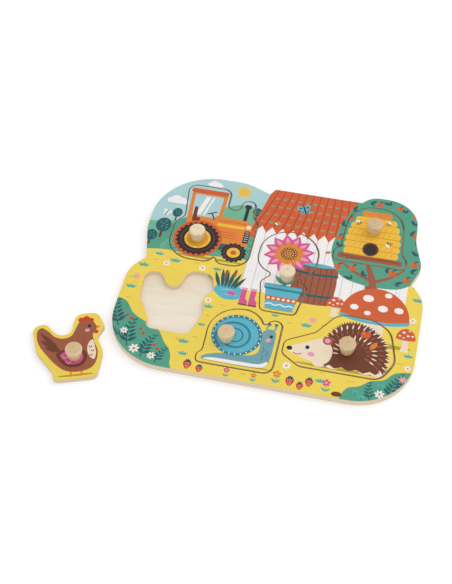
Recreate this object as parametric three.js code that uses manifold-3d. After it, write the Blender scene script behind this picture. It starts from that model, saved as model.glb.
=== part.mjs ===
// A knobbed inset puzzle for a small child: a printed plywood sheet with six sawn-out figures, glued on
// a thin base sheet, so that each figure lies flush in a recess of its own shape. Every figure carries a
// turned wooden knob, screwed on from below. Five figures are in place, and the hen lies beside the board.
// Millimetres, +Z up. The origin is the middle of the board's underside, and +Y is the back edge.
import * as THREE from 'three';
import { mergeVertices } from 'three/addons/utils/BufferGeometryUtils.js';
import Module from 'manifold-3d';

// Plywood sheets
const FRAME_THICKNESS = 5; // the printed sheet, and the figures that are sawn out of it
const BASE_THICKNESS = 2;
const SAW_GAP = 1.3; // all round a figure that lies in the middle of its recess, after sanding
const SEAT_LEFT = 0.4; // how far the seated figures lie off the middle of their recesses
const SEAT_BACK = 0.2;

// Figures, by the box around each outline
const HEN_WIDTH = 70;
const HEN_DEPTH = 77;
const SNAIL_WIDTH = 73;
const SNAIL_DEPTH = 70;
const HEDGEHOG_WIDTH = 106;
const HEDGEHOG_DEPTH = 69;
const TRACTOR_WIDTH = 84;
const TRACTOR_DEPTH = 103;
const FLOWER_WIDTH = 59;
const FLOWER_DEPTH = 107;
const HIVE_WIDTH = 73;
const HIVE_DEPTH = 79;

// Wood between the boxes of neighbouring figures, and how far the rows are set back
const HEN_TO_SNAIL = 3;
const SNAIL_TO_HEDGEHOG = 6;
const TRACTOR_TO_FLOWER = 10;
const FLOWER_TO_HIVE = 15;
const SNAIL_TO_FLOWER = 4;
const HEN_TO_TRACTOR = 17;
const HEDGEHOG_TO_HIVE = 71;
const TRACTOR_INSET = 12; // from the hen's left side
const HEN_SETBACK = 30; // from the snail's front
const HEDGEHOG_SETBACK = 15; // from the snail's front

// Wood between the figures and the board's edge
const LEFT_MARGIN = 19.5;
const RIGHT_MARGIN = 18.5;
const FRONT_MARGIN = 14;
const HILL_MARGIN = 14.5; // behind the tractor
const HILL_SIDE_MARGIN = 27.5; // left of the tractor
const CROWN_MARGIN = 15.5; // behind the hive
const CROWN_SIDE_MARGIN = 17; // right of the hive, where the tree's crown is widest
const CROWN_WAIST_MARGIN = 7; // right of the hive, where the crown draws in
const CROWN_TOP_MARGIN = 5; // right of the hive, at the crown's back corner
const FIELD_MARGIN = 5; // behind the hive

// Rounding of the board's edge
const LEFT_CORNER_RADIUS = 61;
const RIGHT_CORNER_RADIUS = 57;
const SHOULDER_RADIUS = 35; // where the broad front part turns in to the upper part
const HILL_RADIUS = 64;
const HILL_END_RADIUS = 50; // where the hill falls to the field
const CROWN_RADIUS = 34;
const CROWN_SIDE_RADIUS = 24;
const CROWN_WAIST_RADIUS = 48;
const CROWN_END_RADIUS = 22; // where the crown falls to the field
const NOTCH_RADIUS = 2; // the inner corners between the lobes

// Notches and lobes of the board's edge, from the nearest figure
const LEFT_NOTCH_OUT = 17.5;
const LEFT_NOTCH_BELOW = 8;
const RIGHT_NOTCH_OUT = 8;
const RIGHT_NOTCH_BELOW = 18;
const SHOULDER_DROP = 15; // from a notch down to the shoulder below it
const FIELD_NOTCH_OUT = 4.5;
const FIELD_SLANT = 4.5; // how far the field's left end leans over its notch
const FIELD_STEP = 8.5; // how far the field's back edge stands over its notch
const HILL_END_IN = 21; // where the hill starts to fall, from the tractor's right side
const CROWN_JOINT_IN = 18; // where the field meets the crown, from the hive's left side
const CROWN_END_IN = 8.5; // from there to where the crown starts to fall

// Knobs
const KNOB_TOP_DIAMETER = 16.4;
const KNOB_BASE_DIAMETER = 10.6;
const KNOB_HEIGHT = 15.5;
const KNOB_RIM_RADIUS = 2.6;
const KNOB_CROWN = 0.8; // how far the top is domed
const KNOB_SWELL = 0.9; // of the flank beyond a straight cone, at its control point

// Countersunk wood screws
const SCREW_DIAMETER = 3;
const SCREW_HEAD_DIAMETER = 6;
const SCREW_BITE = 8; // length inside the knob
const SCREW_TIP = 2.5;
const HEAD_SUNK = 0.3; // below the figure's underside
const SCREW_CLEARANCE = 0.2;

// The loose hen, by the place of its knob from the board's front left corner
const LOOSE_OUT = 20.5;
const LOOSE_FORWARD = 5;
const LOOSE_TURN = 20; // degrees, anticlockwise

// Fineness of the round stretches
const CHORD_ERROR = 0.08;
const TURNED_SIDES = 24;
const RIM_STEPS = 4;
const FLANK_STEPS = 5;
const LEAST_STRAIGHT = 0.5; // of a side between the roundings at its two ends

const wasm = await Module();
wasm.setup();

// A figure's box on the board, from the front left corner of the board's own box
function boxAt(left, front, width, depth) {
  return { left, front, width, depth, right: left + width, back: front + depth };
}

const hen = boxAt(LEFT_MARGIN, FRONT_MARGIN + HEN_SETBACK, HEN_WIDTH, HEN_DEPTH);
const snail = boxAt(hen.right + HEN_TO_SNAIL, FRONT_MARGIN, SNAIL_WIDTH, SNAIL_DEPTH);
const hedgehog = boxAt(
  snail.right + SNAIL_TO_HEDGEHOG, FRONT_MARGIN + HEDGEHOG_SETBACK, HEDGEHOG_WIDTH, HEDGEHOG_DEPTH);
const tractor = boxAt(hen.left + TRACTOR_INSET, hen.back + HEN_TO_TRACTOR, TRACTOR_WIDTH, TRACTOR_DEPTH);
const flower = boxAt(
  tractor.right + TRACTOR_TO_FLOWER,
  snail.back + SNAIL_TO_FLOWER,
  FLOWER_WIDTH,
  FLOWER_DEPTH,
);
const hive = boxAt(flower.right + FLOWER_TO_HIVE, hedgehog.back + HEDGEHOG_TO_HIVE, HIVE_WIDTH, HIVE_DEPTH);

// Outlines of the figures, anticlockwise. A corner is [across, up, rounding]: its place as shares of the
// box's width and depth, and its radius as a share of the depth. The knob's place is given the same way.
const figures = [
  {
    name: 'hen',
    box: hen,
    knob: [0.56, 0.33],
    colour: 0x9d5a3c,
    corners: [
      [0.24, 0, 0.07], [0.83, 0, 0.08], [0.95, 0.37, 0.22], [0.88, 0.6, 0.1], [1, 0.77, 0.06],
      [0.92, 1, 0.12],
      [0.61, 1, 0.12], [0.54, 0.72, 0.12], [0.36, 0.66, 0.14], [0.19, 0.9, 0.08], [0, 0.86, 0.1],
      [0.04, 0.46, 0.22], [0.25, 0.13, 0.1],
    ],
  },
  {
    name: 'snail',
    box: snail,
    knob: [0.325, 0.44],
    colour: 0x6fa3ac,
    corners: [
      [0, 0, 0.06], [1, 0, 0.13], [1, 0.89, 0.1], [0.85, 0.89, 0.09], [0.78, 0.74, 0.05], [0.64, 1, 0.33],
      [0.04, 1, 0.46], [0.06, 0.2, 0.1], [0, 0.13, 0.06],
    ],
  },
  {
    name: 'hedgehog',
    box: hedgehog,
    knob: [0.565, 0.38],
    colour: 0x8c5a3e,
    corners: [
      [0.17, 0, 0.13], [0.89, 0, 0.2], [1, 0.32, 0.26], [0.92, 0.84, 0.29], [0.75, 1, 0.35], [0.43, 1, 0.26],
      [0.26, 0.61, 0.17], [0, 0.38, 0.1], [0, 0.17, 0.09],
    ],
  },
  {
    name: 'tractor',
    box: tractor,
    knob: [0.33, 0.275],
    colour: 0xd98a3c,
    corners: [
      [0, 0, 0.25], [0.53, 0, 0.16], [0.59, 0.1, 0.04], [0.65, 0, 0.1], [1, 0, 0.15], [1, 0.61, 0.08],
      [0.93, 0.65, 0.04], [0.91, 0.88, 0.06], [0.77, 0.88, 0.06], [0.74, 0.72, 0.06], [0.58, 0.74, 0.06],
      [0.57, 1, 0.08], [0.03, 1, 0.08], [0.1, 0.55, 0.1], [0, 0.45, 0.14],
    ],
  },
  {
    name: 'flower',
    box: flower,
    knob: [0.57, 0.41],
    colour: 0xd96a9c,
    corners: [
      [0.25, 0, 0.05], [0.83, 0, 0.05], [0.93, 0.34, 0.06], [0.71, 0.45, 0.04], [1, 0.52, 0.19],
      [1, 1, 0.27],
      [0, 1, 0.27], [0, 0.52, 0.19], [0.34, 0.45, 0.04], [0.15, 0.34, 0.06],
    ],
  },
  {
    name: 'hive',
    box: hive,
    knob: [0.495, 0.57],
    colour: 0xe6bf4a,
    corners: [
      [0, 0, 0.06], [1, 0, 0.06], [1, 0.15, 0.06], [0.92, 0.25, 0.08], [0.87, 1, 0.33], [0.13, 1, 0.33],
      [0.08, 0.25, 0.08], [0, 0.15, 0.06],
    ],
  },
];

// The board's edge: a broad front part with round corners, and behind it the hill on the left, the
// straight back of the field, and the tree's crown on the right
function boardCorners() {
  const width = hedgehog.right + RIGHT_MARGIN;
  const fieldBack = hive.back + FIELD_MARGIN;
  const hillLeft = tractor.left - HILL_SIDE_MARGIN;
  const hillBack = tractor.back + HILL_MARGIN;
  const crownBack = hive.back + CROWN_MARGIN;
  const leftNotch = tractor.front - LEFT_NOTCH_BELOW;
  const rightNotch = hive.front - RIGHT_NOTCH_BELOW;
  const fieldNotch = tractor.right + FIELD_NOTCH_OUT;
  const crownJoint = hive.left + CROWN_JOINT_IN;
  return [
    [0, 0, LEFT_CORNER_RADIUS],
    [width, 0, RIGHT_CORNER_RADIUS],
    [width, rightNotch - SHOULDER_DROP, SHOULDER_RADIUS],
    [hive.right + RIGHT_NOTCH_OUT, rightNotch, NOTCH_RADIUS],
    [hive.right + CROWN_SIDE_MARGIN, rightNotch + CROWN_SIDE_RADIUS, CROWN_SIDE_RADIUS],
    [hive.right + CROWN_WAIST_MARGIN, (hive.front + hive.back) / 2, CROWN_WAIST_RADIUS],
    [hive.right + CROWN_TOP_MARGIN, crownBack, CROWN_RADIUS],
    [crownJoint + CROWN_END_IN, crownBack, CROWN_END_RADIUS],
    [crownJoint, fieldBack, NOTCH_RADIUS],
    [fieldNotch + FIELD_SLANT, fieldBack, NOTCH_RADIUS],
    [fieldNotch, fieldBack - FIELD_STEP, NOTCH_RADIUS],
    [tractor.right - HILL_END_IN, hillBack, HILL_END_RADIUS],
    [hillLeft, hillBack, HILL_RADIUS],
    [hillLeft, tractor.front + tractor.depth / 3, HILL_RADIUS],
    [tractor.left - LEFT_NOTCH_OUT, leftNotch, NOTCH_RADIUS],
    [0, leftNotch - SHOULDER_DROP, SHOULDER_RADIUS],
  ];
}

// The points of a closed outline whose corners [x, y, radius] are rounded by arcs. A radius that is too
// large for the sides beside it is drawn in until the arcs fit.
function roundedOutline(corners) {
  const count = corners.length;
  const tips = corners.map(([x, y]) => new THREE.Vector2(x, y));
  const sides = tips.map((tip, i) => tips[(i + 1) % count].clone().sub(tip));
  const bends = sides.map((side, i) => {
    const arriving = sides[(i + count - 1) % count];
    return Math.atan2(arriving.cross(side), arriving.dot(side));
  });
  const reaches = corners.map(([, , radius], i) => radius * Math.tan(Math.abs(bends[i]) / 2));
  const room = sides.map((side, i) => {
    const wanted = reaches[i] + reaches[(i + 1) % count];
    return (side.length() - LEAST_STRAIGHT) / wanted;
  });
  return corners.flatMap(([, , radius], i) => {
    const before = (i + count - 1) % count;
    const fit = Math.min(1, room[i], room[before]);
    const start = tips[i].clone().addScaledVector(sides[before].clone().normalize(), -fit * reaches[i]);
    const inward = new THREE.Vector2(-sides[before].y, sides[before].x).setLength(fit * radius);
    const centre = start.clone().addScaledVector(inward, Math.sign(bends[i]));
    const stepBend = 2 * Math.acos(1 - CHORD_ERROR / Math.max(radius, CHORD_ERROR));
    const steps = Math.ceil(Math.abs(bends[i]) / stepBend);
    return Array.from({ length: steps + 1 }, (_, k) => (
      start.clone().rotateAround(centre, (bends[i] * k) / steps)
    ));
  });
}

// A figure's outline in the board's place, in millimetres
function figureOutline({ box, corners }) {
  return roundedOutline(corners.map(([across, up, rounding]) => [
    box.left + across * box.width,
    box.front + up * box.depth,
    rounding * box.depth,
  ]));
}

// An anticlockwise outline, moved outwards by the same gap all round
function grown(outline, gap) {
  const count = outline.length;
  return outline.map((point, i) => {
    const arriving = point.clone().sub(outline[(i + count - 1) % count]).normalize();
    const leaving = outline[(i + 1) % count].clone().sub(point).normalize();
    const along = arriving.clone().add(leaving).normalize();
    const mitre = gap / along.dot(leaving);
    return new THREE.Vector2(point.x + along.y * mitre, point.y - along.x * mitre);
  });
}

// A sheet of even thickness with its underside at z = 0
function sheet(outline, thickness, holes = []) {
  const shape = new THREE.Shape(outline);
  shape.holes = holes.map((hole) => new THREE.Path(hole));
  return new THREE.ExtrudeGeometry(shape, { depth: thickness, bevelEnabled: false });
}

// A body turned about Z, from profile points [radius, height] that start and end on the axis
function turned(profile) {
  const points = profile.map(([radius, height]) => new THREE.Vector2(radius, height));
  return new THREE.LatheGeometry(points, TURNED_SIDES).rotateX(Math.PI / 2);
}

function solidOf(geometry) {
  const bare = geometry.clone();
  bare.deleteAttribute('normal');
  bare.deleteAttribute('uv');
  const merged = mergeVertices(bare);
  const vertProperties = merged.getAttribute('position').array;
  const triVerts = new Uint32Array(merged.getIndex().array);
  return new wasm.Manifold(new wasm.Mesh({ numProp: 3, vertProperties, triVerts }));
}

function geometryOf(solid) {
  const { vertProperties, triVerts } = solid.getMesh();
  const geometry = new THREE.BufferGeometry();
  geometry.setAttribute('position', new THREE.BufferAttribute(vertProperties, 3));
  geometry.setIndex(new THREE.BufferAttribute(triVerts, 1));
  return geometry;
}

function named(name, geometry, colour, roughness, metalness = 0) {
  const material = new THREE.MeshStandardMaterial({ color: colour, roughness, metalness });
  const mesh = new THREE.Mesh(geometry, material);
  mesh.name = name;
  return mesh;
}

// The screw stands head down on the figure's underside, with its axis on Z
const headRadius = SCREW_HEAD_DIAMETER / 2;
const shankRadius = SCREW_DIAMETER / 2;
const headTop = HEAD_SUNK + headRadius - shankRadius;
const screwEnd = FRAME_THICKNESS + SCREW_BITE;

function screwGeometry() {
  return turned([
    [0, HEAD_SUNK],
    [headRadius, HEAD_SUNK],
    [shankRadius, headTop],
    [shankRadius, screwEnd - SCREW_TIP],
    [0, screwEnd],
  ]);
}

// What is drilled out of a figure for its screw, reaching past both faces
function screwHole() {
  const past = FRAME_THICKNESS;
  return turned([
    [0, -past],
    [headRadius + SCREW_CLEARANCE, -past],
    [headRadius + SCREW_CLEARANCE, HEAD_SUNK],
    [shankRadius + SCREW_CLEARANCE, headTop],
    [shankRadius + SCREW_CLEARANCE, FRAME_THICKNESS + past],
    [0, FRAME_THICKNESS + past],
  ]);
}

// A figure in its own frame: the knob's axis is Z, and the underside is at z = 0
function pieceGeometry(outline, knob) {
  const centred = outline.map((point) => point.clone().sub(knob));
  return geometryOf(solidOf(sheet(centred, FRAME_THICKNESS)).subtract(solidOf(screwHole())));
}

// The knob widens in a slightly swelling curve from its foot to a rounded rim under a low domed top.
// Its foot has the blind hole for the screw.
function knobGeometry() {
  const footRadius = KNOB_BASE_DIAMETER / 2;
  const topRadius = KNOB_TOP_DIAMETER / 2;
  const rimTop = KNOB_HEIGHT - KNOB_CROWN;
  const rimMiddle = rimTop - KNOB_RIM_RADIUS;
  const holeRadius = shankRadius + SCREW_CLEARANCE;
  const holeDepth = SCREW_BITE + SCREW_CLEARANCE;
  const flank = new THREE.QuadraticBezierCurve(
    new THREE.Vector2(footRadius, 0),
    new THREE.Vector2((footRadius + topRadius) / 2 + KNOB_SWELL, rimMiddle / 2),
    new THREE.Vector2(topRadius, rimMiddle),
  );
  const rim = new THREE.EllipseCurve(
    topRadius - KNOB_RIM_RADIUS, rimMiddle, KNOB_RIM_RADIUS, KNOB_RIM_RADIUS, 0, Math.PI / 2);
  return turned([
    [0, holeDepth],
    [holeRadius, holeDepth],
    [holeRadius, 0],
    ...flank.getPoints(FLANK_STEPS).map(({ x, y }) => [x, y]),
    ...rim.getPoints(RIM_STEPS).slice(1).map(({ x, y }) => [x, y]),
    [(topRadius - KNOB_RIM_RADIUS) / 2, KNOB_HEIGHT - KNOB_CROWN / 4],
    [0, KNOB_HEIGHT],
  ]);
}

// One figure with its knob and screw, moving as one
function figureGroup(figure) {
  const { name, box, colour } = figure;
  const knobPlace = new THREE.Vector2(
    box.left + figure.knob[0] * box.width,
    box.front + figure.knob[1] * box.depth,
  );
  const group = new THREE.Group();
  const knob = named(`${name}_knob`, knobGeometry(), 0xdcc39b, 0.55);
  knob.position.z = FRAME_THICKNESS;
  group.add(named(`${name}_piece`, pieceGeometry(figureOutline(figure), knobPlace), colour, 0.5));
  group.add(knob);
  group.add(named(`${name}_screw`, screwGeometry(), 0xb9b4a8, 0.35, 1));
  if (figure === looseFigure) {
    group.position.set(-LOOSE_OUT, -LOOSE_FORWARD, 0);
    group.rotation.z = THREE.MathUtils.degToRad(LOOSE_TURN);
  } else {
    group.position.set(knobPlace.x - SEAT_LEFT, knobPlace.y + SEAT_BACK, BASE_THICKNESS);
  }
  return group;
}

const looseFigure = figures.find(({ name }) => name === 'hen');
const edge = roundedOutline(boardCorners());
const recesses = figures.map((figure) => grown(figureOutline(figure), SAW_GAP));

const framePlate = named('frame_plate', sheet(edge, FRAME_THICKNESS, recesses), 0xe8cf5e, 0.5);
framePlate.position.z = BASE_THICKNESS;
const basePlate = named('base_plate', sheet(edge, BASE_THICKNESS), 0xe6d5b8, 0.65);

const board = new THREE.Group();
board.add(basePlate, framePlate, ...figures.map(figureGroup));
const edgeBox = new THREE.Box2().setFromPoints(edge);
board.position.set(-(edgeBox.min.x + edgeBox.max.x) / 2, -(edgeBox.min.y + edgeBox.max.y) / 2, 0);

const puzzle = new THREE.Group();
puzzle.add(board);
export default puzzle;
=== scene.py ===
import bpy
import numpy as np
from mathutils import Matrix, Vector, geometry


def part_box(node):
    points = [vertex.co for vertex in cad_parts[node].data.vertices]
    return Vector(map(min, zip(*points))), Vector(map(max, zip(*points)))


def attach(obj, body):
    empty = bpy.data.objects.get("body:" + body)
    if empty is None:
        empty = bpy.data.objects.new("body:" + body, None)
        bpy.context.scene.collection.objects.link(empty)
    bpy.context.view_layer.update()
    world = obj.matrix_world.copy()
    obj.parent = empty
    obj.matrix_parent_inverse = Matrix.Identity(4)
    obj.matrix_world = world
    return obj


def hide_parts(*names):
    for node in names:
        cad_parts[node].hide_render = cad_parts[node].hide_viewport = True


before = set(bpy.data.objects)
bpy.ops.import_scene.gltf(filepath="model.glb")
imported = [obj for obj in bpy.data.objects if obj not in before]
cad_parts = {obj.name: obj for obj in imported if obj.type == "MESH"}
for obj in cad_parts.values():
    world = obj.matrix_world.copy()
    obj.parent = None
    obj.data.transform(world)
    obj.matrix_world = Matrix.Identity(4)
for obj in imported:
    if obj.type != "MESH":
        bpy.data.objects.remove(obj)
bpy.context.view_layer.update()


# BASE PLATE
# A thin sheet of bare birch plywood with the board's outline, glued under the printed sheet.
# It shows as the pale floor of an empty recess, along the lower part of the edge, and from below.
MM = 0.001
BASE_THICK = 2.0
ARRIS = 0.35          # sanded rounding of every sawn edge, mm
ARRIS_STEPS = 3
WALL_BAND = 1.2       # from each face to the first row of points on a sawn wall, mm
WALL_BAND_SHARE = 0.3     # of the thickness, on a thin sheet
RIM_STEP = 2.0        # longest facet along a sawn line, mm
CORNER_MATCH = 500    # corners that agree to this part of a millimetre are one
INK_MATCH = 0.001     # print corners closer than this are one, mm
INK_ROWS = 2.5        # rows of points on the arris over which the ink ends
HOLE_AREA = 40.0      # a sawn line round less than this is a screw's hole, mm2
HOLE_NEAR = 4.0       # points this close to a hole's middle are on its wall, mm
HOLE_OUT = 1.5        # from the screw's hole to the wide end of its countersink, mm
SINK_TOP = 1.8        # where the countersink starts to widen, above the underside, mm
SINK_FOOT = 0.3       # where it has its full width
HOLE_ROWS = (3.0, 2.2)    # heights of the rows of points on a hole's straight wall, mm
INK = {"bare": (0.80, 0.70, 0.55)}


def node_corners(name):
    """The corners of a solid's triangles as an array (triangle, corner, xyz), in millimetres."""
    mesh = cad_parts[name].data
    mesh.calc_loop_triangles()
    places = np.empty(len(mesh.vertices) * 3, np.float32)
    mesh.vertices.foreach_get("co", places)
    corners = np.empty(len(mesh.loop_triangles) * 3, np.int32)
    mesh.loop_triangles.foreach_get("vertices", corners)
    return places.reshape(-1, 3)[corners].reshape(-1, 3, 3) / MM


def open_edges(tris, count):
    """The edges that only one triangle has, as (from, to), and the number of that triangle."""
    ends = np.vstack([tris[:, [0, 1]], tris[:, [1, 2]], tris[:, [2, 0]]])
    there = ends[:, 0] * count + ends[:, 1]
    back = ends[:, 1] * count + ends[:, 0]
    alone = ~np.isin(there, back)
    return ends[alone], np.tile(np.arange(len(tris)), 3)[alone]


def area(loop):
    """Half the sum of the cross products of each point with the next: positive when anticlockwise."""
    x, y = np.asarray(loop, float).T
    return float(np.sum(x * np.roll(y, -1) - y * np.roll(x, -1)) / 2)


def sawn_loops(name):
    """The closed lines that a saw leaves on a sheet's top face, read from its solid: edges that only
    one triangle of the top face has, joined end to end, wood on the left, the outer line first."""
    tris = node_corners(name)
    top = tris[(tris[:, :, 2] > tris[:, :, 2].max() - 0.01).all(1)][:, :, :2]
    places = np.round(top.reshape(-1, 2) * CORNER_MATCH).astype(int)
    keys, index = np.unique(places, axis=0, return_inverse=True)
    rim, _ = open_edges(index.reshape(-1, 3), len(keys))
    onward = dict(rim.tolist())
    loops = []
    while onward:
        first, here = onward.popitem()
        chain = [first]
        while here != first:
            chain.append(here)
            here = onward.pop(here)
        loops.append(keys[chain] / CORNER_MATCH)
    return sorted(loops, key=area, reverse=True)


def drawn_in(loop, by):
    """The loop with each point moved to its left by the same distance from both of its sides."""
    to = np.roll(loop, -1, 0) - loop
    to /= np.linalg.norm(to, axis=1, keepdims=True)
    came = np.roll(to, 1, 0)
    bend = (came + to) / (1 + np.sum(came * to, 1, keepdims=True))
    return loop + by * np.stack([-bend[:, 1], bend[:, 0]], 1)


def dense(loop):
    """The loop with points added along its straight parts, at most one step apart."""
    sides = zip(loop, np.roll(loop, -1, 0))
    return np.vstack([np.linspace(a, b, max(1, int(np.ceil(np.hypot(*(b - a)) / RIM_STEP))), endpoint=False)
                      for a, b in sides])


def printed_face(sawn, bored, inks):
    """A sheet's face split along every ink line by a constrained triangulation, where each triangle
    keeps the ink laid last over it. Gives the flat points, the triangles and each triangle's ink."""
    low, high = sawn[0].min(0), sawn[0].max(0)
    laid = [(colour, shape) for colour, shape in inks
            if (shape.max(0) > low).all() and (shape.min(0) < high).all()]
    shapes = [s if area(s) > 0 else s[::-1] for s in sawn + bored + [shape for _, shape in laid]]
    starts = np.cumsum([0] + [len(s) for s in shapes])
    rings = [list(range(a, b)) for a, b in zip(starts[:-1], starts[1:])]
    flat, _, tris, _, _, owners = geometry.delaunay_2d_cdt(
        np.vstack(shapes).tolist(), [], rings, 0, INK_MATCH, True)
    cut = len(sawn) + len(bored)
    kept = [(tri, max(own)) for tri, own in zip(tris, owners)
            if 0 in own and not any(0 < k < cut for k in own)]
    used, faces = np.unique(np.array([tri for tri, _ in kept]), return_inverse=True)
    ink = np.array([INK[laid[k - cut][0]] if k >= cut else INK["bare"] for _, k in kept])
    return np.array([tuple(v) for v in flat])[used], faces.reshape(-1, 3), ink


def rim_lean(flat, ends):
    """At each rim point the way out of the wood: twice the sum of its two sides' outward normals over
    that sum's own square, so that one length of it moves both sides by one."""
    out = flat[ends[:, 1]] - flat[ends[:, 0]]
    out = np.stack([out[:, 1], -out[:, 0]], 1) / np.linalg.norm(out, axis=1, keepdims=True)
    lean = np.zeros(flat.shape)
    np.add.at(lean, ends.ravel(), np.repeat(out, 2, 0))
    size = np.sum(lean ** 2, 1, keepdims=True)
    return np.where(size > 0, 2 * lean / np.maximum(size, 1e-9), 0)


def on_outer_line(flat, ends):
    """Which points are on the outermost sawn line: each takes the lowest number met on the way round
    its own line, in doubling steps, and the line with the leftmost point is the outermost."""
    mark = np.arange(len(flat))
    onward = np.arange(len(flat))
    onward[ends[:, 0]] = ends[:, 1]
    for _ in range(16):
        mark, onward = np.minimum(mark, mark[onward]), onward[onward]
    leftmost = ends[np.argmin(flat[ends[:, 0], 0]), 0]
    return mark == mark[leftmost]


def new_piece(name, points, faces, body, replaces, finish):
    """A mesh in metres from points in millimetres, riding its body in place of its solid."""
    mesh = bpy.data.meshes.new(name)
    mesh.from_pydata((np.asarray(points) * MM).tolist(), [], faces)
    piece = bpy.data.objects.new(name, mesh)
    bpy.context.scene.collection.objects.link(piece)
    mesh.materials.append(finish)
    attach(piece, body)
    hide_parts(replaces)
    return piece


def give(mesh, name, kind, field, values):
    """An attribute of the mesh's own points."""
    data = mesh.attributes.new(name, kind, "POINT").data
    data.foreach_set(field, np.asarray(values, np.float32).ravel())


def cut_sheet(name, node, body, finish, thick, inks, low_arris, rim_toast_and_shade, recess_toast_and_shade):
    """A plywood sheet: its face above, the same face below, and between them rows of points that follow
    every sawn line on a profile of a quarter round, a straight wall and a small round at the foot."""
    top = node_corners(node)[:, :, 2].max()
    loops = [dense(loop) for loop in sawn_loops(node)]
    holes = [loop for loop in loops if abs(area(loop)) < HOLE_AREA]
    sawn = [drawn_in(loop, ARRIS) for loop in loops if abs(area(loop)) >= HOLE_AREA]
    bored = [drawn_in(loop, HOLE_OUT) for loop in holes]
    flat, faces, ink = printed_face(sawn, bored, inks)
    count = len(flat)
    ends, beside = open_edges(faces, count)
    lean = rim_lean(flat, ends)
    in_bore = np.zeros(count, bool)
    for loop in holes:
        in_bore |= np.hypot(*(flat - loop.mean(0)).T) < HOLE_NEAR

    # the profiles of a sawn line and of a screw's hole, from the face down: how far out, how high
    swell = np.linspace(0, np.pi / 2, ARRIS_STEPS + 1)[1:]
    band = min(WALL_BAND, WALL_BAND_SHARE * thick)
    rows = [(ARRIS * np.sin(a), thick - ARRIS * (1 - np.cos(a))) for a in swell]
    rows += [(ARRIS, thick - band), (ARRIS, band), (ARRIS, low_arris)]
    rows += [(ARRIS - low_arris * (1 - np.sin(a)), low_arris * (1 - np.cos(a))) for a in swell[:-1][::-1]]
    # two rows close together hold each crisp edge of the hole
    levels = (thick, thick - 0.01, *HOLE_ROWS, SINK_TOP + 0.05, SINK_TOP)
    bore = [(HOLE_OUT, level) for level in levels]
    bore += [(0.0, SINK_FOOT), (0.0, SINK_FOOT / 3)]

    rim = np.unique(ends)
    rim_number = np.full(count, -1)
    rim_number[rim] = np.arange(len(rim))
    layers = [np.column_stack([flat, np.full(count, thick)])]
    for (side, height), (bore_side, bore_height) in zip(rows, bore):
        shift = np.where(in_bore[rim], bore_side, side)[:, None] * lean[rim]
        level = np.where(in_bore[rim], bore_height, height)
        layers.append(np.column_stack([flat[rim] + shift, level]))
    layers.append(np.column_stack([flat, np.zeros(count)]))
    points = np.vstack(layers)
    below = count + len(rows) * len(rim)
    rings = [ends]
    rings += [count + k * len(rim) + rim_number[ends] for k in range(len(rows))]
    rings += [below + ends]
    walls = [np.column_stack([high[:, ::-1], low]) for high, low in zip(rings[:-1], rings[1:])]
    quads = np.vstack(walls)
    under = below + faces[:, ::-1]
    layer = points[:, 2].copy()
    points[:, 2] += top - thick
    sides = faces.tolist() + quads.tolist() + under.tolist()
    piece = new_piece(name, points, sides, body, node, finish)

    mesh = piece.data
    smooth = np.zeros(len(mesh.polygons), bool)
    smooth[len(faces):len(faces) + len(quads)] = True
    mesh.polygons.foreach_set("use_smooth", smooth)
    # ink with 1 in the fourth place where it lies on the face, fading over the arris; 0 on bare wood
    over = [np.column_stack([ink, np.ones(len(ink))]).repeat(3, 0)]
    for k in range(len(walls)):
        wall_ink = np.column_stack([ink[beside], np.zeros(len(beside))]).repeat(4, 0).reshape(-1, 4, 4)
        wall_ink[:, :2, 3] = max(0.0, 1 - k / INK_ROWS)
        wall_ink[:, 2:, 3] = max(0.0, 1 - (k + 1) / INK_ROWS)
        over.append(wall_ink.reshape(-1, 4))
    over.append(np.zeros((len(under) * 3, 4)))
    inked_corners = mesh.color_attributes.new("ink", "FLOAT_COLOR", "CORNER").data
    inked_corners.foreach_set("color", np.vstack(over).astype(np.float32).ravel())
    # how brown each rim point's wall is: light saw toast, and painted shade where the wall stands in a narrow
    # saw gap
    toast_and_gap_shade = np.where(on_outer_line(flat, ends), rim_toast_and_shade, recess_toast_and_shade(flat))
    give(mesh, "layer", "FLOAT", "value", layer)
    give(mesh, "toast_and_gap_shade", "FLOAT", "value", np.concatenate([toast_and_gap_shade, np.tile(toast_and_gap_shade[rim], len(rows)), toast_and_gap_shade]))


def clean(places):
    """No saw toast and no painted shade at these places."""
    return np.zeros(len(places))


def put(tree, kind, feeds=None, **settings):
    """A shader node with its settings, its sockets fed by other nodes' sockets or by plain values."""
    node = tree.nodes.new("ShaderNode" + kind)
    for name, value in settings.items():
        setattr(node, name, value)
    for socket, value in (feeds or {}).items():
        if isinstance(value, bpy.types.NodeSocket):
            tree.links.new(value, node.inputs[socket])
        else:
            node.inputs[socket].default_value = value
    return node


def reckon(tree, operation, *values):
    """One step of arithmetic on values that change over the surface."""
    return put(tree, "Math", dict(enumerate(values)), operation=operation).outputs[0]


def spread(tree, value, low, high, out_low, out_high):
    """A value carried from one range to another, clamped."""
    return put(tree, "MapRange", {0: value, 1: low, 2: high, 3: out_low, 4: out_high}).outputs[0]


def linear(red, green, blue):
    """A colour written as three numbers from 0 to 255 on the screen, as light."""
    c = np.array([red, green, blue]) / 255
    return tuple(np.where(c < 0.04045, c / 12.92, ((c + 0.055) / 1.055) ** 2.4))


def tint(tree, factor, a, b):
    """Two colours mixed by a factor."""
    mix = put(tree, "Mix", {0: factor}, data_type="RGBA")
    for socket, value in ((6, a), (7, b)):
        if isinstance(value, bpy.types.NodeSocket):
            tree.links.new(value, mix.inputs[socket])
        else:
            mix.inputs[socket].default_value = (*value, 1)
    return mix.outputs[2]


def read(tree, name, socket="Fac"):
    """One of the piece's own attributes."""
    return put(tree, "Attribute", attribute_name=name).outputs[socket]


def place_mm(tree):
    """Where a point lies on the piece, in millimetres."""
    here = put(tree, "TexCoord").outputs["Object"]
    return put(tree, "VectorMath", {0: here, 1: (1 / MM,) * 3}, operation="MULTIPLY").outputs[0]


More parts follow.
